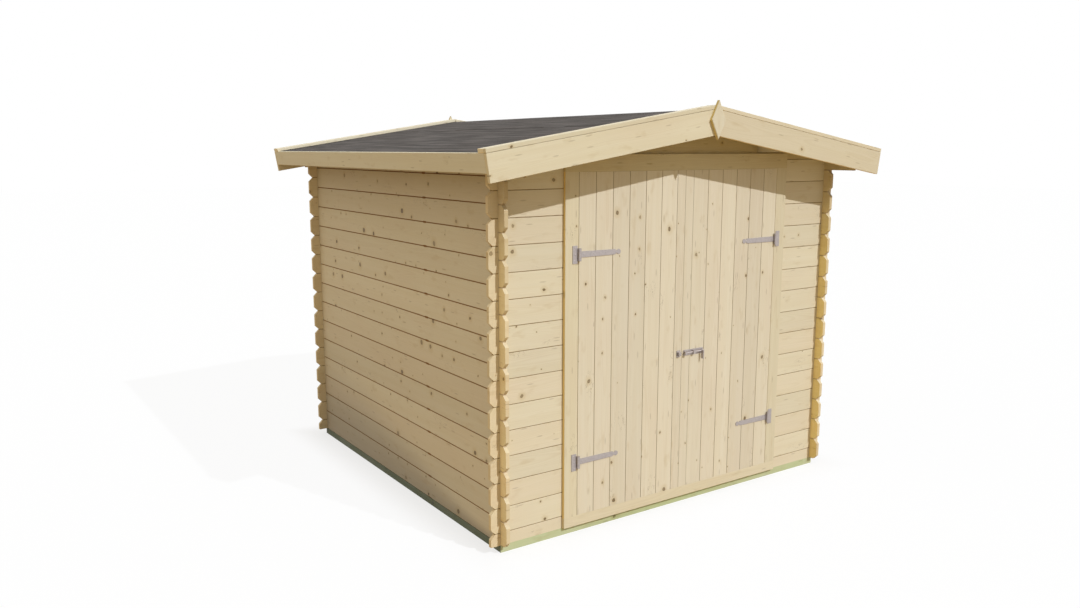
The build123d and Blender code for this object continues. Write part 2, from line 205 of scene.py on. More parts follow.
# %% [markdown]
# ## Spruce
# The shed is planed, unpainted spruce. A log or board is cut from a round trunk, so its grain is a slice
# through yearly rings: nearly circles around the pith at a sawn end, long lines and arches on a face. A
# picture of wood would show the same board everywhere. Here the rings are worked out in space, from each
# point's distance to a pith that lies at a chance place behind the board and wanders along it. Knots are
# cells of a Voronoi pattern, of which only some are taken, and the rings swell around them. One node group
# holds the wood; it is given a place along, across and through the board, and a chance number that is
# different for each board.

# %% The spruce node group
def vector(tree, x, y, z=0.0):
    """A vector from three numbers or outputs."""
    return add(tree, "ShaderNodeCombineXYZ", {0: x, 1: y, 2: z})


def noise(tree, place, scale=1.0, detail=2.0, out=0):
    """Smooth noise in space, as a number (output 0) or as three numbers in a colour (output 1)."""
    return add(tree, "ShaderNodeTexNoise", {"Vector": place, "Scale": scale, "Detail": detail}, out)


def blend(tree, share, first, second, how="MIX"):
    """A mix of two colours, or with MULTIPLY the first one tinted by the second."""
    inputs = {0: share, 6: first, 7: second}
    return add(tree, "ShaderNodeMix", inputs, 2, data_type="RGBA", blend_type=how)


def grey(tree, value):
    """A number as a colour."""
    return add(tree, "ShaderNodeCombineColor", {0: value, 1: value, 2: value})


spruce = bpy.data.node_groups.new("spruce", "ShaderNodeTree")
for name, kind in (("Place", "Vector"), ("Chance", "Float"), ("Knots", "Float"), ("Size", "Float"),
                   ("Stretch", "Float"), ("End", "Float")):
    spruce.interface.new_socket(name, in_out="INPUT", socket_type="NodeSocket" + kind)
for name, kind in (("Color", "Color"), ("Roughness", "Float"), ("Height", "Float")):
    spruce.interface.new_socket(name, in_out="OUTPUT", socket_type="NodeSocket" + kind)
print("spruce takes", [socket.name for socket in spruce.interface.items_tree])

# %% Places and chances in a board
tree = spruce
given = tree.nodes.new("NodeGroupInput").outputs
chance = given["Chance"]
along_bare, across, depth = split(tree, given["Place"])
along = calc(tree, "MULTIPLY_ADD", chance, 31.0, along_bare)


def chances(times):
    """Another chance number, from the fraction of a multiple of the first."""
    return calc(spruce, "FRACT", calc(spruce, "MULTIPLY", chance, times))


def grain_noise(lengthwise, crosswise, inward, detail=2.0):
    """Noise with a scale of its own along, across and through the board, to be drawn out along the grain."""
    scaled = (calc(spruce, "MULTIPLY", part, scale)
              for part, scale in zip((along, across, depth), (lengthwise, crosswise, inward)))
    return noise(spruce, vector(spruce, *scaled), 1.0, detail)


def spots(place, scale):
    """A flat Voronoi pattern: the distance to a cell's middle, and a colour that is the cell's own chance."""
    inputs = {"Vector": place, "Scale": scale}
    return add(spruce, "ShaderNodeTexVoronoi", inputs, voronoi_dimensions="2D").node.outputs


print("places ready,", len(tree.nodes), "nodes so far")

# %% Knots and rings
ring_width = 0.0045
knot_cells = 8.5                  # per metre
knot_least, knot_more = 0.0024, 0.0085
knot_shake = 0.010                # by which noise bends a knot's outline

shake = noise(tree, vector(tree, along, across, chances(13.0)), 60.0, 2.0, 1)
shake = add(tree, "ShaderNodeVectorMath", {0: shake, 1: (0.5, 0.5, 0.5)}, operation="SUBTRACT")
shake = add(tree, "ShaderNodeVectorMath", {0: shake, "Scale": knot_shake}, operation="SCALE")
knot_place = vector(tree, calc(tree, "DIVIDE", along, given["Stretch"]),
                    calc(tree, "MULTIPLY_ADD", chance, 19.0, across))
knot_place = add(tree, "ShaderNodeVectorMath", {0: knot_place, 1: shake}, operation="ADD")
cells = spots(knot_place, knot_cells)
drawn = split(tree, cells["Color"])
present = calc(tree, "LESS_THAN", drawn[0], given["Knots"])
radius = calc(tree, "MULTIPLY_ADD", calc(tree, "POWER", drawn[1], 3.0), knot_more, knot_least)
radius = calc(tree, "MULTIPLY", radius, given["Size"])
reach = calc(tree, "DIVIDE", cells["Distance"], calc(tree, "MULTIPLY", radius, knot_cells))
halo = calc(tree, "MULTIPLY", present, ease(tree, reach, 4.5, 0.8))
knot = calc(tree, "MULTIPLY", present, ease(tree, reach, 1.20, 0.75))
darkness = calc(tree, "MULTIPLY_ADD", drawn[2], 0.45, 0.55)

# The pith lies up to 3 cm aside and 1 to 6 cm behind the board, and wanders by a few centimetres more.
wander = split(tree, noise(tree, vector(tree, along, chances(57.0)), 1.1, 1.0, 1))
aside = calc(tree, "MULTIPLY_ADD", calc(tree, "SUBTRACT", wander[0], 0.5), 0.10,
             calc(tree, "MULTIPLY_ADD", chances(7.13), 0.06, -0.03))
behind = calc(tree, "MULTIPLY_ADD", calc(tree, "SUBTRACT", wander[1], 0.5), 0.05,
              calc(tree, "MULTIPLY_ADD", chances(3.7), 0.05, 0.012))
from_pith = vector(tree, calc(tree, "SUBTRACT", across, aside), calc(tree, "ADD", depth, behind))
distance = add(tree, "ShaderNodeVectorMath", {0: from_pith}, "Value", operation="LENGTH")
distance = calc(tree, "MULTIPLY_ADD", grain_noise(4.0, 30.0, 30.0), 0.0016, distance)
distance = calc(tree, "MULTIPLY_ADD", halo, -0.005, distance)
year = calc(tree, "FRACT", calc(tree, "DIVIDE", distance, ring_width))
late = calc(tree, "MULTIPLY", ease(tree, year, 0.40, 0.92), ease(tree, year, 1.0, 0.94))
print("rings", ring_width * 1000, "mm wide, knots up to", round((knot_least + knot_more) * 2000, 1), "mm")

# %% Colour of the wood
wood_pale = (0.704, 0.638, 0.484, 1.0)
wood_straw = (0.650, 0.567, 0.390, 1.0)
wood_pink = (0.674, 0.574, 0.426, 1.0)
wood_late = (0.535, 0.420, 0.240, 1.0)
wood_amber = (0.535, 0.405, 0.195, 1.0)
knot_rim = (0.085, 0.054, 0.022, 1.0)
knot_heart = (0.220, 0.145, 0.066, 1.0)
end_tint = (1.02, 0.96, 0.84, 1.0)
fleck_share = 0.04                # of the cells that hold a fleck

fibre = grain_noise(5.0, 420.0, 420.0)
streak = grain_noise(1.1, 38.0, 38.0)
patch = grain_noise(1.7, 5.0, 5.0, 1.0)
smudge = grain_noise(9.0, 24.0, 1.0)
tone = calc(tree, "MULTIPLY_ADD", chances(5.3), 0.09, 0.95)

wood = blend(tree, ease(tree, chances(9.1), 0.35, 0.95, 0.0, 0.45), wood_pale, wood_pink)
wood = blend(tree, ease(tree, streak, 0.30, 0.75, 0.0, 0.42), wood, wood_straw)
wood = blend(tree, ease(tree, patch, 0.45, 0.75, 0.0, 0.35), wood, wood_pink)
wood = blend(tree, calc(tree, "MULTIPLY", late, calc(tree, "MULTIPLY", patch, 0.30)), wood, wood_late)
light = calc(tree, "MULTIPLY", tone, calc(tree, "MULTIPLY_ADD", fibre, 0.12, 0.94))
wood = blend(tree, 1.0, wood, grey(tree, light), "MULTIPLY")
wood = blend(tree, calc(tree, "MULTIPLY", calc(tree, "POWER", halo, 2.0), 0.42), wood, wood_amber)
heart = blend(tree, ease(tree, reach, 0.25, 0.85), knot_heart, knot_rim)
wood = blend(tree, calc(tree, "MULTIPLY", knot, darkness), wood, heart)
wood = blend(tree, ease(tree, smudge, 0.58, 0.74, 0.0, 0.30), wood, wood_late)

# Flecks are small drawn-out cells, and resin fine winding lines where noise crosses its middle.
fleck_place = vector(tree, calc(tree, "MULTIPLY", along, 11.0),
                     calc(tree, "MULTIPLY_ADD", across, 70.0, chance))
flecks = spots(fleck_place, 1.0)
fleck = calc(tree, "LESS_THAN", split(tree, flecks["Color"])[0], fleck_share)
fleck = calc(tree, "MULTIPLY", fleck, ease(tree, flecks["Distance"], 0.28, 0.10, 0.0, 0.30))
wood = blend(tree, fleck, wood, knot_heart)
wood = blend(tree, given["End"], wood, end_tint, "MULTIPLY")
web = calc(tree, "ABSOLUTE", calc(tree, "SUBTRACT", grain_noise(16.0, 42.0, 1.0, 3.0), 0.5))
few_place = vector(tree, calc(tree, "MULTIPLY", along, 4.0), calc(tree, "MULTIPLY", across, 9.0), chance)
few = ease(tree, noise(tree, few_place, 1.0, 1.0), 0.66, 0.74, 0.0, 0.40)
wood = blend(tree, calc(tree, "MULTIPLY", ease(tree, web, 0.016, 0.004), few), wood, knot_heart)
print("spruce group has", len(tree.nodes), "nodes for its colour")

# %% Roughness and relief of the wood
rough = calc(tree, "MULTIPLY_ADD", late, -0.10, calc(tree, "MULTIPLY_ADD", fibre, 0.12, 0.58))
rough = calc(tree, "MULTIPLY_ADD", knot, -0.14, rough)
relief = calc(tree, "MULTIPLY_ADD", late, 0.45, calc(tree, "MULTIPLY", fibre, 0.40))
relief = calc(tree, "MULTIPLY_ADD", knot, 0.35, relief)
given_back = tree.nodes.new("NodeGroupOutput")
for socket, value in zip(("Color", "Roughness", "Height"), (wood, rough, relief)):
    tree.links.new(value, given_back.inputs[socket])
print("spruce group has", len(tree.nodes), "nodes")

# %% [markdown]
# ## Log walls
# Every material that uses the group has to say where a point lies in its own log. The CAD logs lie in courses
# of 120 mm, so the height alone tells which log it is and where across. Dust and painted shade sit in the
# joints, so the wood darkens in the last few millimetres before one. Light and shade are painted on the walls
# too: the side walls are darker under the eaves and greyer low down, reaching higher towards the back, as
# painted shade, and the log ends beyond the corners take a warm yellow tint, as painted bounce light. A small
# dark mark sits in each joint of the side walls, in a row. Planed boards, made later, carry their own place
# with them as attributes on their points, and need no such reckoning.

# %% Material helpers
def finish_shader(material, colour, roughness, height, strength=0.3, relief=0.0006, gloss=0.18, metal=0.0):
    """Puts a Principled shader with colour, roughness and bump on a material."""
    tree = material.node_tree
    bump = add(tree, "ShaderNodeBump", {"Height": height, "Strength": strength, "Distance": relief})
    shader = add(tree, "ShaderNodeBsdfPrincipled", {
        "Base Color": colour, "Roughness": roughness, "Specular IOR Level": gloss, "Metallic": metal,
        "Normal": bump})
    tree.links.new(shader, tree.nodes.new("ShaderNodeOutputMaterial").inputs["Surface"])
    return material


def use_spruce(tree, place, chance, knots, end, size=0.9, stretch=1.3):
    """Calls the spruce group, and returns its colour, roughness and height."""
    inputs = {"Place": place, "Chance": chance, "Knots": knots, "Size": size, "Stretch": stretch, "End": end}
    return add(tree, "ShaderNodeGroup", inputs, node_tree=spruce).node.outputs


def axis_material(name, along_axis, across_axis, chance, knots=0.3, turn=0.0, tint=None):
    """Spruce for a single piece of wood along one axis, if need be turned about Y.

    A tint colours the faces that aren't turned to the front or the back; on the finials it is painted bounce
    light."""
    material, tree = new_material(name)
    where = coordinates(tree)
    place = where["Object"]
    if turn:
        place = add(tree, "ShaderNodeMapping", {"Vector": place, "Rotation": (0.0, turn, 0.0)})
    parts = split(tree, place)
    place = vector(tree, parts[along_axis], parts[across_axis], parts[3 - along_axis - across_axis])
    wood = use_spruce(tree, place, chance, knots, 0.0)
    colour = wood["Color"]
    if tint:
        # Painted light on the faces that are turned sideways.
        painted_side_bounce = ease(tree, calc(tree, "ABSOLUTE", split(tree, where["Normal"])[1]), 0.6, 0.4)
        colour = blend(tree, painted_side_bounce, colour, tint, "MULTIPLY")
    return finish_shader(material, colour, wood["Roughness"], wood["Height"])


def dress(material, *nodes):
    """Gives a material to CAD nodes, on the slots that they have."""
    for node in nodes:
        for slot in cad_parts[node].material_slots:
            slot.material = material


print("material helpers ready")

# %% Log material
course = 0.120
corner_line = -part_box("front_gable")[0].y         # beyond it a log's end stands free
corner_blur = 0.002
eave_shade_from, eave_shade_full = 1.15, 1.75           # heights between which the painted shade under the eaves grows
low_shade_front, low_shade_back = 0.08, 0.70            # heights that the painted shade low on the wall reaches at its two ends
low_shade_full, wall_end = 0.03, 1.1                 # height below which that shade is full, and where the wall ends
bounce_full, bounce_faint, bounce_least = 1.2, 1.8, 0.2  # painted bounce light: full below the first height, least above the second
bare_joint_share = 0.6                                 # of the dust and painted joint shade that is left out beyond the corners
mark_place, mark_reach, mark_core, mark_height = -0.385, 0.024, 0.008, 0.0025
# Tints of painted shade: under the eaves, and low on the side walls.
eave_shade_tint, low_shade_tint = (0.84, 0.825, 0.78, 1.0), (0.655, 0.65, 0.675, 1.0)


def log_material(name, along_axis, joint, middle, seed, tint, bounce_tint, knots, size, gap, gap_shade):
    """Spruce for a wall: floor((z - joint) / course) numbers the log, and seeds its chance."""
    material, tree = new_material(name)
    where = coordinates(tree)
    parts, normal = split(tree, where["Object"]), split(tree, where["Normal"])
    count = calc(tree, "DIVIDE", calc(tree, "SUBTRACT", parts[2], joint), course)
    log = calc(tree, "FLOOR", count)
    across = calc(tree, "MULTIPLY", calc(tree, "SUBTRACT", calc(tree, "FRACT", count), 0.5), course)
    through = calc(tree, "SUBTRACT", parts[1 - along_axis], middle)
    chance = add(tree, "ShaderNodeTexWhiteNoise", {"W": calc(tree, "ADD", log, seed)}, noise_dimensions="1D")
    end = ease(tree, calc(tree, "ABSOLUTE", normal[along_axis]), 0.4, 0.9)
    wood = use_spruce(tree, vector(tree, parts[along_axis], across, through), chance, knots, end, size, 1.0)
    colour = blend(tree, 1.0, wood["Color"], tint, "MULTIPLY")
    to_joint = calc(tree, "SUBTRACT", course / 2, calc(tree, "ABSOLUTE", across))
    beyond = ease(tree, calc(tree, "ABSOLUTE", parts[along_axis]), corner_line, corner_line + corner_blur)
    painted_bounce, joint_left_bare = beyond, 0.0
    if along_axis == 1:
        # Painted shade: the side walls darken towards the eaves.
        eave_shade = ease(tree, parts[2], eave_shade_from, eave_shade_full)
        colour = blend(tree, eave_shade, colour, eave_shade_tint, "MULTIPLY")
        # Painted shade low on the side walls, reaching higher towards the back.
        low_shade_top = ease(tree, parts[1], -wall_end, wall_end, low_shade_front, low_shade_back)
        low_shade = ease(tree, parts[2], low_shade_top, low_shade_full)
        low_shade = calc(tree, "MULTIPLY", low_shade, calc(tree, "SUBTRACT", 1.0, beyond))
        colour = blend(tree, low_shade, colour, low_shade_tint, "MULTIPLY")
        outward = ease(tree, calc(tree, "ABSOLUTE", normal[0]), 0.6, 0.9)
        bounce_height = ease(tree, parts[2], bounce_faint, bounce_full, bounce_least, 1.0)
        painted_bounce = calc(tree, "MULTIPLY", calc(tree, "MULTIPLY", beyond, outward), bounce_height)
        joint_left_bare = calc(tree, "MULTIPLY", beyond, bare_joint_share)
        off = calc(tree, "ABSOLUTE", calc(tree, "SUBTRACT", parts[1], mark_place))
        to_joint = calc(tree, "SUBTRACT", to_joint, ease(tree, off, mark_reach, mark_core, 0.0, mark_height))
    # Painted bounce light: a warm yellow tint on the log ends beyond the corners.
    colour = blend(tree, painted_bounce, colour, bounce_tint, "MULTIPLY")
    # Dust and painted shade darken the wood in the last millimetres before each joint.
    dust_and_shade = ease(tree, to_joint, gap / 3, gap, 1.0, 0.0)
    dust_and_shade = calc(tree, "MULTIPLY", dust_and_shade, calc(tree, "SUBTRACT", 1.0, joint_left_bare))
    colour = blend(tree, dust_and_shade, colour, gap_shade, "MULTIPLY")
    return finish_shader(material, colour, wood["Roughness"], wood["Height"])


print("logs lie in courses of", course, "m")

# %% Dress the walls
side_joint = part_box("foundation_side_beams")[1].z
front_joint = side_joint + course / 2
# The gable's darker, warmer tint and the side walls' slightly warmer one are painted shade.
side_shade_tint, front_tint, gable_shade_tint = (1.0, 0.975, 0.94, 1.0), (1.0, 1.0, 0.99, 1.0), (0.84, 0.79, 0.62, 1.0)
# Tints of painted bounce light on the log ends beyond the corners.
left_bounce, right_bounce = (1.28, 1.20, 0.96, 1.0), (1.34, 1.23, 0.76, 1.0)
front_bounce = (1.01, 0.955, 0.86, 1.0)
# gap_shade is painted shade, with dust, in the joints between logs.
side_look = {"knots": 0.38, "size": 1.2, "gap": 0.0042, "gap_shade": (0.36, 0.20, 0.07, 1.0)}
front_look = {"knots": 0.26, "size": 0.9, "gap": 0.0022, "gap_shade": (0.34, 0.24, 0.12, 1.0)}

for name, seed, bounce_tint in (("left", 3.0, left_bounce), ("right", 41.0, right_bounce)):
    low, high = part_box(f"{name}_wall_logs_a")
    logs = log_material(f"{name}_logs", 1, side_joint, (low.x + high.x) / 2, seed, side_shade_tint, bounce_tint,
                        **side_look)
    dress(logs, f"{name}_wall_logs_a", f"{name}_wall_logs_b")
for name, seed in (("front", 87.0), ("back", 133.0)):
    low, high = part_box(f"{name}_gable")
    walls = [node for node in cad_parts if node.startswith(name) and "log" in node]
    for part, nodes, tint in (("logs", walls, front_tint), ("gable_wood", [f"{name}_gable"], gable_shade_tint)):
        logs = log_material(f"{name}_{part}", 0, front_joint, (low.y + high.y) / 2, seed, tint, front_bounce,
                            **front_look)
        dress(logs, *nodes)
    print(name, "wall:", walls)

# %% [markdown]
# ## Treated beams, felt and zinc
# The foundation beams are softwood that has been pressure treated, which leaves it green with brown where the
# grain took more of it up. The side beams are darker, with painted shade near the ground. Roofing felt is a
# bitumen sheet covered with crushed slate: dark grey grains, and faint streaks in the direction in which it
# was rolled out. The hinges and the bolt are steel with a dull coat of zinc, whose crystals show as faint
# patches.
# All three are made of noise at the size of the real thing.

# %% Treated beams
green_pale, green_deep = (0.74, 0.88, 0.72, 1.0), (0.67, 0.82, 0.60, 1.0)
# Painted shade: the side beams' green, much darker.
painted_shade_pale, painted_shade_deep = (0.226, 0.288, 0.265, 1.0), (0.185, 0.240, 0.214, 1.0)


def treated_material(name, along_axis, dye_and_shade_pale, dye_and_shade_deep, dye_end):
    """Green treated softwood: the spruce's ring pattern in a green dye that noise makes uneven. The side
    beams pass in colours darkened by painted shade.
    """
    material, tree = new_material(name)
    where = coordinates(tree)
    parts = split(tree, where["Object"])
    facing = calc(tree, "ABSOLUTE", split(tree, where["Normal"])[along_axis])
    place = vector(tree, parts[along_axis], parts[2], parts[1 - along_axis])
    wood = use_spruce(tree, place, chance=0.37, knots=0.4, end=0.0)
    drawn_out = vector(tree, calc(tree, "MULTIPLY", parts[along_axis], 2.0),
                       calc(tree, "MULTIPLY", parts[2], 25.0), parts[1 - along_axis])
    dye = blend(tree, ease(tree, noise(tree, drawn_out, 1.0, 3.0), 0.35, 0.70), dye_and_shade_pale, dye_and_shade_deep)
    dye = blend(tree, ease(tree, facing, 0.5, 0.9), dye, dye_end)
    colour = blend(tree, 1.0, wood["Color"], dye, "MULTIPLY")
    return finish_shader(material, colour, wood["Roughness"], wood["Height"])


# The side beams take the painted shade colours.
side_beams = treated_material("treated_sides", 1, painted_shade_pale, painted_shade_deep, green_pale)
end_beams = treated_material("treated_ends", 0, green_pale, green_deep, green_deep)
dress(side_beams, "foundation_side_beams", "floor_joists")
dress(end_beams, "foundation_end_beams")
print("beams dressed")

# %% Felt and zinc
slate_dark, slate_pale = (0.052, 0.0455, 0.041, 1.0), (0.119, 0.104, 0.095, 1.0)
slate_worn = (0.089, 0.078, 0.071, 1.0)
zinc_dark, zinc_pale = (0.43, 0.382, 0.364, 1.0), (0.47, 0.416, 0.395, 1.0)
zinc_scuffed = (0.36, 0.32, 0.305, 1.0)

felt, tree = new_material("slate_felt")
place = coordinates(tree)["Object"]
parts = split(tree, place)
rolled = vector(tree, calc(tree, "MULTIPLY", parts[1], 2.6), calc(tree, "MULTIPLY", parts[0], 26.0))
streaks = noise(tree, rolled, 1.0, 4.0)
grains = noise(tree, place, 700.0, 2.0)
worn = noise(tree, place, 3.0, 3.0)
slate = blend(tree, ease(tree, streaks, 0.34, 0.68), slate_dark, slate_pale)
slate = blend(tree, ease(tree, worn, 0.35, 0.75, 0.0, 0.35), slate, slate_worn)
slate = blend(tree, 1.0, slate, grey(tree, ease(tree, grains, 0.25, 0.75, 0.80, 1.20)), "MULTIPLY")
finish_shader(felt, slate, ease(tree, worn, 0.3, 0.7, 0.82, 0.95), grains, strength=0.5, relief=0.0012)

zinc, tree = new_material("dull_zinc")
place = coordinates(tree)["Object"]
crystals = add(tree, "ShaderNodeTexVoronoi", {"Vector": place, "Scale": 160.0}, "Color")
scuffs = noise(tree, place, 60.0, 3.0)
coat = blend(tree, split(tree, crystals)[0], zinc_dark, zinc_pale)
coat = blend(tree, ease(tree, scuffs, 0.45, 0.75, 0.0, 0.35), coat, zinc_scuffed)
finish_shader(zinc, coat, ease(tree, scuffs, 0.3, 0.7, 0.38, 0.58), scuffs, strength=0.05, relief=0.0003,
              gloss=0.5, metal=0.75)
dress(zinc, "hinge_plates", "left_hinge_straps", "right_hinge_straps", "bolt_guides", "bolt_rod", "bolt_keep")
print("felt", len(felt.node_tree.nodes), "nodes, zinc", len(zinc.node_tree.nodes), "nodes")

# %% Purlins and finials
# Painted bounce light: a warm yellow tint on the finials' sides.
finial_side_bounce = (0.98, 0.83, 0.44, 1.0)
dress(axis_material("purlin_wood", 1, 2, chance=0.61), "ridge_purlin", "side_purlins")
finial_wood = axis_material("finial_wood", 2, 0, chance=0.24, knots=0.1, tint=finial_side_bounce)
dress(finial_wood, "front_finial", "back_finial")
print("purlins and finials dressed")

# %% [markdown]
# ## Planed boards
# A sawn board is a sharp block, but a planed one has eased edges that catch the light as a thin bright line,
# and that line is what makes trim look like wood. A Bevel modifier could ease a box. Here the board is worked
# out as rings along its length, so that its points can also carry their place along, across and through the
# board. Then each board has its own grain, whichever way it is turned, and an end can be cut plumb on a
# sloping board.

# %% The board surface
arris_steps = 2
arris_turn = np.linspace(0.0, pi / 2, arris_steps + 1)
corner_turn = np.arange(4)[:, None] * pi / 2 + arris_turn
corner_signs = np.array([(1, 1), (-1, 1), (-1, -1), (1, -1)])


def plank_grid(length, width, thick, arris, end_arris, lean):
    """Rings of a planed board: places along, across and through it, in an array of rings by points.

    A ring is a rectangle whose corners are quarter circles. Towards an end the rings shrink by the same
    quarter circle, so that the end's edges are eased too. A leaning start moves a point along by the lean
    times its places across and through, and less and less towards the other end."""
    half = np.array([width, thick]) / 2
    ring = corner_signs[:, None] * (half - arris)
    ring = ring + arris * np.stack([np.cos(corner_turn), np.sin(corner_turn)], -1)
    inset = end_arris * (1 - np.sin(arris_turn))
    step = end_arris * (1 - np.cos(arris_turn))
    station = np.concatenate([step, length - step[::-1]])
    shrink = 1 - np.concatenate([inset, inset[::-1]])[:, None] / half
    section = ring.reshape(1, -1, 2) * shrink[:, None]
    leaning = np.outer(1 - station / length, lean)
    along = station[:, None] + (section * leaning[:, None]).sum(-1)
    return np.concatenate([along[..., None], section], -1)


def plank(start, along, across, length, width, thick, arris=0.0025, end_arris=0.0015, lean=(0, 0)):
    """A board from the middle of its start: its own places, and the same points in the shed."""
    grid = plank_grid(length, width, thick, arris, end_arris, lean)
    axes = np.array([along, across, np.cross(along, across)], dtype=float)
    return grid, np.asarray(start, dtype=float) + grid @ axes


def box_plank(low, high, along, arris=0.0025, end_arris=0.0015):
    """A board that fills a box, with its length along one axis and its width along the longer other one."""
    low, high = np.array(low), np.array(high)
    size = high - low
    across, depth = sorted((axis for axis in range(3) if axis != along), key=lambda axis: -size[axis])
    start = (low + high) / 2
    start[along] = low[along]
    return plank(start, np.eye(3)[along], np.eye(3)[across], size[along], size[across], size[depth],
                 arris, end_arris)


print("board ring has", 4 * (arris_steps + 1), "points")

# %% From boards to pieces
draws = np.random.default_rng(11)


def add_piece(name, mesh, body, slot, *replaced):
    """Puts a finished mesh in the scene, on a body, and hides the CAD nodes that it stands for; its slot is
    not used.
    """
    piece = bpy.data.objects.new(name, mesh)
    scene.collection.objects.link(piece)
    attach(piece, body)
    if replaced:
        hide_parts(*replaced)


def joinery(name, planks, material, body, slot, *replaced):
    """One mesh of many boards: quads from ring to ring, a face on each end, and the attributes of the wood.

    On a ring, edge is the part of the surface's direction that points across: 0 on the broad faces, 1 on the
    narrow ones."""
    grids = np.array([grid for grid, points in planks])
    points = np.array([points for grid, points in planks])
    boards, rings, count = grids.shape[:3]
    index = np.arange(boards * rings * count).reshape(boards, rings, count)
    after = np.roll(index, -1, axis=2)
    quads = np.stack([index[:, :-1], after[:, :-1], after[:, 1:], index[:, 1:]], -1).reshape(-1, 4)
    ends = np.concatenate([index[:, 0, ::-1], index[:, -1]])
    mesh = bpy.data.meshes.new(name)
    mesh.from_pydata(points.reshape(-1, 3).tolist(), [], quads.tolist() + ends.tolist())
    mesh.attributes.new("grain", "FLOAT_VECTOR", "POINT").data.foreach_set("vector", grids.ravel())
    on_points = {"chance": np.repeat(draws.random(boards), rings * count),
                 "edge": np.tile(np.abs(np.cos(corner_turn)).ravel(), boards * rings)}
    for key, values in on_points.items():
        mesh.attributes.new(key, "FLOAT", "POINT").data.foreach_set("value", values)
    is_end = np.repeat([0.0, 1.0], [len(quads), len(ends)])
    mesh.attributes.new("end", "FLOAT", "FACE").data.foreach_set("value", is_end)
    mesh.materials.append(material)
    add_piece(name, mesh, body, slot, *replaced)


print("boards take their chance from a seeded draw")

# %% Board materials
# Painted shade for the joints between boards, and painted bounce light for the narrow edges of trim.
painted_joint_shade, painted_bounce_light = (0.42, 0.32, 0.19, 1.0), (1.20, 1.00, 0.59, 1.0)


def board_material(name, knots, shade, painted_edge_tint, edge_from):
    """Spruce for planed boards, from the attributes on their points.

    Narrow edges that don't look up take a painted tint: painted shade in the joints of boards, painted bounce
    light on trim. It starts where the edge attribute passes edge_from."""
    material, tree = new_material(name)
    grain = add(tree, "ShaderNodeAttribute", {}, "Vector", attribute_name="grain")
    chance, end, edge = (add(tree, "ShaderNodeAttribute", {}, "Fac", attribute_name=key)
                         for key in ("chance", "end", "edge"))
    wood = use_spruce(tree, grain, chance, knots, end)
    colour = blend(tree, 1.0, wood["Color"], shade, "MULTIPLY")
    upwards = split(tree, coordinates(tree)["Normal"])[2]
    # The narrow edges that take the painted edge tint.
    narrow = calc(tree, "MULTIPLY", ease(tree, edge, edge_from, 0.95), ease(tree, upwards, 0.6, 0.3))
    narrow = calc(tree, "MULTIPLY", narrow, calc(tree, "SUBTRACT", 1.0, end))
    colour = blend(tree, narrow, colour, painted_edge_tint, "MULTIPLY")
    return finish_shader(material, colour, wood["Roughness"], wood["Height"])


# Name, share of knots, shade, the painted edge tint (painted shade in board joints, painted bounce light on
# # trim), and where on the arris that tint starts.
planed = board_material("planed_boards", 0.46, (1.0, 1.0, 1.03, 1.0), painted_joint_shade, 0.2)
trim = board_material("trim_boards", 0.12, (0.980, 0.972, 0.93, 1.0), painted_bounce_light, 0.75)
# The header's darker, warmer shade is painted shade under the roof.
painted_shade_trim = board_material("painted_shade_trim", 0.12, (0.90, 0.865, 0.74, 1.0), painted_bounce_light, 0.75)
# The battens' brighter shade is painted light.
painted_light_trim = board_material("painted_light_trim", 0.12, (1.12, 1.12, 1.12, 1.0), painted_bounce_light, 0.75)
sawn = board_material("sawn_boards", 0.40, (0.97, 0.97, 0.97, 1.0), painted_joint_shade, 0.3)
print("five board materials")

# %% [markdown]
# ## Door frame and door leaves
# A leaf is seven tongued boards side by side, with the edges of each eased so that every joint is a small V.
# The board at the hinge and the one at the meeting edge are narrower, because the pattern starts from the
# doorway's edges. The frame is two jambs, a header and a sill. Each board of a leaf is its own closed
# surface, and the leaf is one piece that swings with its door. The boards on both sides of a running gap
# stand into it a little, so that it looks as narrow as on the real door.

# %% Door leaves
doorway_half = 0.660
door_board, leaf_boards = 0.101, 7
joint_gap = 0.0006
board_arris, meeting_arris, cut_arris = 0.0022, 0.0006, 0.0005
closing = 0.0023                  # by which boards on both sides of a running gap stand into it
brace_width = 0.080

for side, name in sides:
    low, high = (np.array(corner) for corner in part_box(f"{name}_door"))
    inner, outer = sorted((abs(low[0]), abs(high[0])))
    joints = doorway_half - door_board * np.arange(1, leaf_boards)
    edges = np.concatenate([[outer + closing], joints, [inner - closing]])
    low[2], high[2] = low[2] - closing, high[2] + closing
    boards = []
    for start, stop in zip(edges[:-1], edges[1:]):
        left, right = sorted((side * (start - joint_gap / 2), side * (stop + joint_gap / 2)))
        arris = board_arris if stop > inner else meeting_arris
        boards.append(box_plank((left, *low[1:]), (right, *high[1:]), 2, arris, cut_arris))
    joinery(f"{name}_leaf_boards", boards, planed, f"{name}_door", "board_wood", f"{name}_door")
    dress(axis_material(f"{name}_ledge_wood", 0, 2, 0.3 + 0.1 * side), f"{name}_door_ledges")
    low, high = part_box(f"{name}_door_brace")
    lean = side * atan2(high.x - low.x - brace_width, high.z - low.z)
    dress(axis_material(f"{name}_brace_wood", 2, 0, 0.5 + 0.1 * side, turn=lean), f"{name}_door_brace")
    print(name, "leaf:", len(boards), "boards")

# %% Door frame
frame_arris = 0.0008
running_gap = 0.005               # between the solids

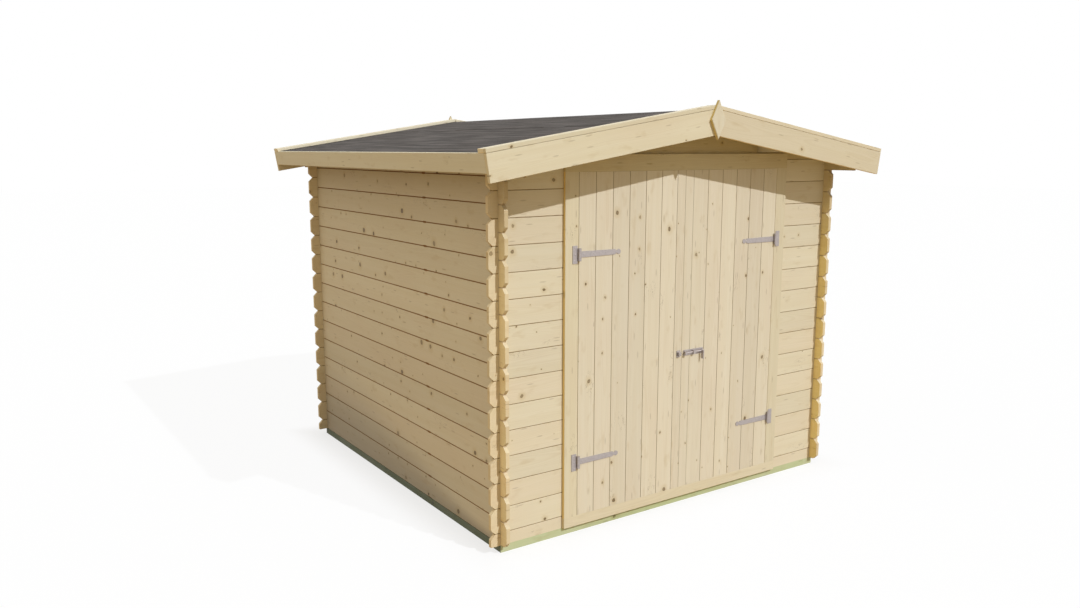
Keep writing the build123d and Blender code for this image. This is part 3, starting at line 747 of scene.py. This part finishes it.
low, high = (np.array(corner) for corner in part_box("door_jambs"))
inner = doorway_half - closing
jambs = [box_plank((-high[0], *low[1:]), (-inner, *high[1:]), 2), box_plank((inner, *low[1:]), high, 2)]
joinery("planed_jambs", jambs, trim, "root", "board_wood", "door_jambs")
low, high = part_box("door_header")
header = box_plank(low - Vector((0, 0, closing)), high, 0, frame_arris)
joinery("planed_header", [header], painted_shade_trim, "root", "board_wood", "door_header")
low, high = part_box("door_sill")
sill = box_plank(low, high + Vector((0, 0, closing)), 0, frame_arris)
joinery("planed_sill", [sill], trim, "root", "board_wood", "door_sill")
print("running gaps look", round(1000 * (running_gap - 2 * closing), 1), "mm wide")

# %% [markdown]
# ## Screws
# Round-headed screws hold the hinges, the bolt and its keep. A head is a shallow dome with a cross in it that
# is too small to be seen from a few steps away, so the dome alone is made: rings that shrink towards the top
# while they rise, as on a flattened sphere. All heads on one body are one piece, which moves with that body.

# %% The surface of a screw head
head_radius, head_rise = 0.0042, 0.0016
head_round, head_rings = 12, 4
dome_end = 0.47 * pi              # just short of the top, which is a small flat


def screw_heads(name, places, body):
    """Domes facing -Y: at angle t up the dome the ring's radius is r cos t and its rise h sin t."""
    tilt = np.linspace(0.0, dome_end, head_rings)
    turn = np.arange(head_round) * 2 * pi / head_round
    ring = head_radius * np.cos(tilt)[:, None]
    rise = head_rise * np.sin(tilt)[:, None] + 0 * turn
    dome = np.stack([ring * np.cos(turn), -rise, ring * np.sin(turn)], -1)
    points = np.array(places)[:, None, None] + dome
    index = np.arange(points[..., 0].size).reshape(points.shape[:3])
    after = np.roll(index, -1, axis=2)
    quads = np.stack([index[:, :-1], after[:, :-1], after[:, 1:], index[:, 1:]], -1).reshape(-1, 4)
    faces = quads.tolist() + index[:, -1].tolist() + index[:, 0, ::-1].tolist()
    mesh = bpy.data.meshes.new(name)
    mesh.from_pydata(points.reshape(-1, 3).tolist(), [], faces)
    mesh.materials.append(zinc)
    add_piece(name, mesh, body, "zinc")
    print(name, len(places), "heads")


print("a head is", head_radius * 2000, "mm across")

# %% Screws on the hinges, the bolt and the keep
plate_half, plate_inset, plate_shifts = 0.0415, 0.0135, (-0.030, 0.0, 0.030)
strap_thick, strap_runs = 0.003, (0.035, 0.095, 0.165, 0.225)
bolt_thick, guide_first, guide_last, guide_inset, keep_inset = 0.0025, 0.024, 0.008, 0.006, 0.005
plate_low, plate_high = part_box("hinge_plates")
guide_low, guide_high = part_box("bolt_guides")
keep_low, keep_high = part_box("bolt_keep")
strap_start = abs(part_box("left_hinge_straps")[0].x)
door_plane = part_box("left_door")[0].y
hinge_face, bolt_face = door_plane - strap_thick, door_plane - bolt_thick
hinge_levels = plate_low.z + plate_half, plate_high.z - plate_half

plate_x = plate_high.x - plate_inset
screw_heads("plate_screws", [(side * plate_x, hinge_face, level + shift) for side in (-1, 1)
                             for level in hinge_levels for shift in plate_shifts], "root")
keep_x = (keep_low.x + keep_high.x) / 2
bolt_places = {
    "left": [(keep_x, bolt_face, z) for z in (keep_low.z + keep_inset, keep_high.z - keep_inset)],
    "right": [(x, bolt_face, z) for x in (guide_low.x + guide_first, guide_high.x - guide_last)
              for z in (guide_low.z + guide_inset, guide_high.z - guide_inset)],
}
for side, name in sides:
    places = [(side * (strap_start - run), hinge_face, level) for level in hinge_levels for run in strap_runs]
    screw_heads(f"{name}_door_screws", places + bolt_places[name], f"{name}_door")

# %% [markdown]
# ## Roof
# The roof is a low gable. Boards run down each slope, with an eave board under their ends; bargeboards with a
# thin strip along their top, and battens behind them, finish both gables. All of it follows one slope, so
# places on it are given as a run down the slope from the ridge and a rise square to it, and one function
# turns those into places in the shed. At the ridge the boards are cut plumb, which is a lean of the tangent
# of the pitch.

# %% Places on the slope
pitch = radians(9.1)
deck_thick, felt_thick = 0.018, 0.003
ridge_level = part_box("left_roof_deck")[1].z - deck_thick / cos(pitch)
felt_low, felt_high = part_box("roof_felt")
felt_top = deck_thick + felt_thick
eave_run = (felt_high.x - felt_top * sin(pitch)) / cos(pitch)
deck_run = (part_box("right_roof_deck")[1].x - deck_thick * sin(pitch)) / cos(pitch)


def slope_axes(side):
    """Unit vectors down the slope and square to it, for the left (-1) or right (1) side."""
    down = np.array([side * cos(pitch), 0.0, -sin(pitch)])
    square = np.array([side * sin(pitch), 0.0, cos(pitch)])
    return down, square


def roof_point(side, run, rise, y):
    """The place at a run down the slope, a rise square to it and a depth y."""
    down, square = slope_axes(side)
    return np.array([0.0, y, ridge_level]) + run * down + rise * square


def slope_board(side, rise_low, rise_high, y_low, y_high, arris, gap):
    """A board on edge down the slope to the eave, cut plumb at the ridge: it leans by minus the tangent."""
    down, square = slope_axes(side)
    middle = (rise_low + rise_high) / 2
    first = -middle * tan(pitch) + gap
    start = roof_point(side, first, middle, (y_low + y_high) / 2)
    return plank(start, down, square, eave_run - first, rise_high - rise_low, y_high - y_low, arris, arris,
                 lean=(-tan(pitch), 0.0))


print("eave at a run of", round(eave_run, 4), "m, ridge at", round(ridge_level, 4), "m")

# %% Deck, eave boards, bargeboards and battens
deck_board, deck_arris = 0.094, 0.002
barge_height, barge_arris, barge_gap = 0.140, 0.0016, 0.0005
batten_width, batten_height, batten_arris, batten_gap = 0.045, 0.018, 0.002, 0.001
strip_gap = 0.0012                # between a bargeboard and the strip on it
barge_top = felt_top + batten_height
strip_foot = barge_top - batten_height

for side, name in sides:
    down, square = slope_axes(side)
    low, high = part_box(f"{name}_roof_deck")
    count = round((high.y - low.y) / deck_board)
    edges = np.linspace(low.y, high.y, count + 1)
    first = -deck_thick / 2 * tan(pitch)
    boards = []
    for start, stop in zip(edges[:-1], edges[1:]):
        place = roof_point(side, first, deck_thick / 2, (start + stop) / 2)
        # The board's third direction points into the roof, so its plumb cut leans by plus the tangent.
        boards.append(plank(place, down, (0.0, -side, 0.0), deck_run - first, stop - start - joint_gap,
                            deck_thick, deck_arris, deck_arris, lean=(0.0, tan(pitch))))
    joinery(f"{name}_deck_boards", boards, sawn, "root", "inner_wood", f"{name}_roof_deck")

    low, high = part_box(f"{name}_eave_board")
    eave_thick = eave_run - deck_run
    eave_height = (high.z - low.z - eave_thick * sin(pitch)) / cos(pitch) + felt_thick
    place = roof_point(side, (deck_run + eave_run) / 2, felt_top - eave_height / 2, low.y)
    eave = plank(place, (0.0, 1.0, 0.0), square, high.y - low.y, eave_height, eave_thick)
    joinery(f"{name}_eave_planed", [eave], trim, "root", "board_wood", f"{name}_eave_board")
    for end in ("front", "back"):
        low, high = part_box(f"{end}_{name}_bargeboard")
        rises = (barge_top - barge_height, strip_foot - strip_gap), (strip_foot, barge_top)
        boards = [slope_board(side, *pair, low.y, high.y, barge_arris, barge_gap) for pair in rises]
        joinery(f"{end}_{name}_barge_planed", boards, trim, "root", "board_wood", f"{end}_{name}_bargeboard")
    print(name, "roof:", count, "deck boards, eave board", round(eave_height, 4), "m")

low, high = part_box("edge_battens")
strips = []
for side in (-1, 1):
    for edge, sign in ((low.y, 1), (high.y, -1)):
        reach = sorted((edge, edge + sign * batten_width))
        strips.append(slope_board(side, felt_top, barge_top, *reach, batten_arris, batten_gap))
joinery("planed_battens", strips, painted_light_trim, "root", "board_wood", "edge_battens")

# %% [markdown]
# ## Felt
# Felt comes in rolls a metre wide. One strip is rolled out along each eave and a third lies over the ridge,
# lapping both, so that water runs off the laps. At the eave the sheet ends behind the board's upper edge. A
# strip is a thin closed profile in the plane of the gable, carried along the shed. Felt never lies quite
# flat, so a slow wave of a fraction of a millimetre is added to its rise.

# %% The felt's surface
sheet = 0.0013
felt_stations = 90
felt_y = np.linspace(felt_low.y, felt_high.y, felt_stations)
wave_height = 0.00022


def felt_wave(run, y):
    """Three slow sine waves down and along the roof, together under a millimetre high."""
    wave = np.sin(5.1 * y + 3.0 * run) + 0.7 * np.sin(2.3 * y - 7.0 * run + 1.0)
    return wave_height * (wave + 0.5 * np.sin(9.7 * y + 11.0 * run))


def felt_strip(name, upper, lower, wavy):
    """A profile carried along y: the upper line of (x, z) places there, and the lower line back again.

    The wave is added to the upper line alone, where wavy is 1. Each end is a ladder of quads."""
    profile = np.concatenate([upper, lower[::-1]])
    lift = np.concatenate([wavy, 0 * wavy])
    y = felt_y[:, None] + 0 * profile[None, :, 0]
    z = profile[None, :, 1] + lift * felt_wave(np.abs(profile[None, :, 0]), y)
    points = np.stack([profile[None, :, 0] + 0 * y, y, z], -1)
    rings, count = points.shape[:2]
    index = np.arange(rings * count).reshape(rings, count)
    after = np.roll(index, -1, axis=1)
    quads = np.stack([index[:-1], index[1:], after[1:], after[:-1]], -1).reshape(-1, 4)
    rung = np.arange(count // 2 - 1)
    ladder = np.stack([rung, rung + 1, count - 2 - rung, count - 1 - rung], -1)
    faces = quads.tolist() + index[0][ladder].tolist() + index[-1][ladder[:, ::-1]].tolist()
    mesh = bpy.data.meshes.new(name)
    mesh.from_pydata(points.reshape(-1, 3).tolist(), [], faces)
    mesh.materials.append(felt)
    mesh.shade_smooth()
    add_piece(name, mesh, "root", "felt", "roof_felt")


def slope_line(side, run, rise):
    """Places (x, z) along a line of runs and rises on one side."""
    run, rise = np.broadcast_arrays(run, rise)
    x = side * (run * cos(pitch) + rise * sin(pitch))
    return np.stack([x, ridge_level - run * sin(pitch) + rise * cos(pitch)], -1)


def over_ridge(run, rise):
    """The line up the left side and down the right one."""
    return np.concatenate([slope_line(-1, run, rise)[::-1], slope_line(1, run, rise)])


print("felt waves up to", round(wave_height * 2200, 2), "mm")

# %% Felt strips
lap = 0.50                        # run of the ridge strip's lower edges
tucked = 0.15                     # of an eave strip under the ridge strip
flat_end = 0.05                   # run before the eave in which the felt lies flat
taper, thin_share = 0.01, 0.1     # run in which the ridge strip thins out at the lap, and to what part
eave_clear = 0.0005               # between the felt and the eave board
eave_points, ridge_points = 42, 20

run = np.linspace(lap - tucked, deck_run - eave_clear, eave_points)
wavy = np.where(run < deck_run - flat_end, 1.0, 0.0)
for side, name in sides:
    upper, below = slope_line(side, run, deck_thick + sheet), slope_line(side, run, deck_thick)
    felt_strip(f"{name}_felt_strip", upper[::side], below[::side], wavy[::side])
run = np.linspace(0.0, lap, ridge_points)
rise = deck_thick + sheet * (1.0 + np.where(run < lap - taper, 1.0, thin_share))
upper, below = over_ridge(run, rise), over_ridge(run, deck_thick + sheet)
felt_strip("ridge_felt_strip", upper, below, np.ones(2 * ridge_points))
print("felt: three strips,", felt_stations, "stations each")

# %% [markdown]
# ## Floor
# Floor boards lie across the joists. They are seen when the doors stand open, so they are boards too, made by
# the same function as the doors' boards.

# %% Floor boards
floor_board, floor_arris = 0.088, 0.0015
low, high = (np.array(corner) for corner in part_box("floor"))
count = round((high[1] - low[1]) / floor_board)
edges = np.linspace(low[1], high[1], count + 1)
boards = [box_plank((low[0], start + joint_gap / 2, low[2]), (high[0], stop - joint_gap / 2, high[2]), 0,
                    floor_arris) for start, stop in zip(edges[:-1], edges[1:])]
joinery("floor_boards", boards, sawn, "root", "inner_wood", "floor")
print(count, "floor boards")
